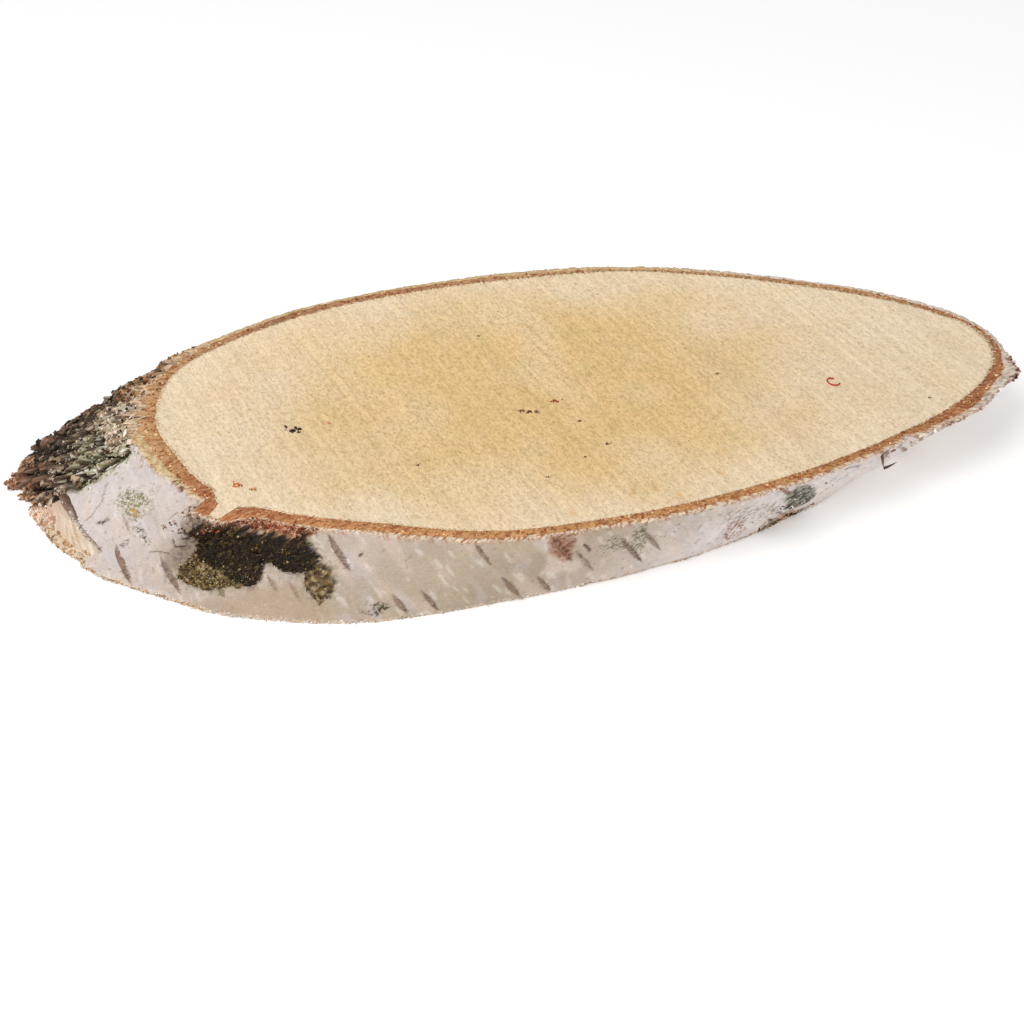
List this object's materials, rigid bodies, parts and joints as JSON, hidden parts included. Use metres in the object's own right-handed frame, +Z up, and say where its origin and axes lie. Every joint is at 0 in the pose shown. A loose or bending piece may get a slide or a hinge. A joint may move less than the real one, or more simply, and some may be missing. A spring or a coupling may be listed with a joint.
{
  "type": "birch wood slice",
  "caption": "Oval slab of birch wood sawn obliquely across a log, with white and furrowed bark on its slanting edge, for decoration or as a small board.",
  "frame": {"origin": "bottom centre of the bounding box", "axes": "+X along the long axis of the oval, towards the end where the edge overhangs; +Z up, from the underside to the upper cut face"},
  "size_m": [0.208, 0.1048, 0.0144],
  "materials": {
    "birch_wood": "sawn across the grain, dry and matt",
    "inner_bark": "orange-brown, crumbly and matt",
    "white_bark": "papery white with grey-brown lenticels",
    "rough_bark": "dark, furrowed and flaking",
    "moss": "short dark moss"
  },
  "bodies": {
    "root": {"birch_slice": "birch_wood"}
  },
  "joints": []
}
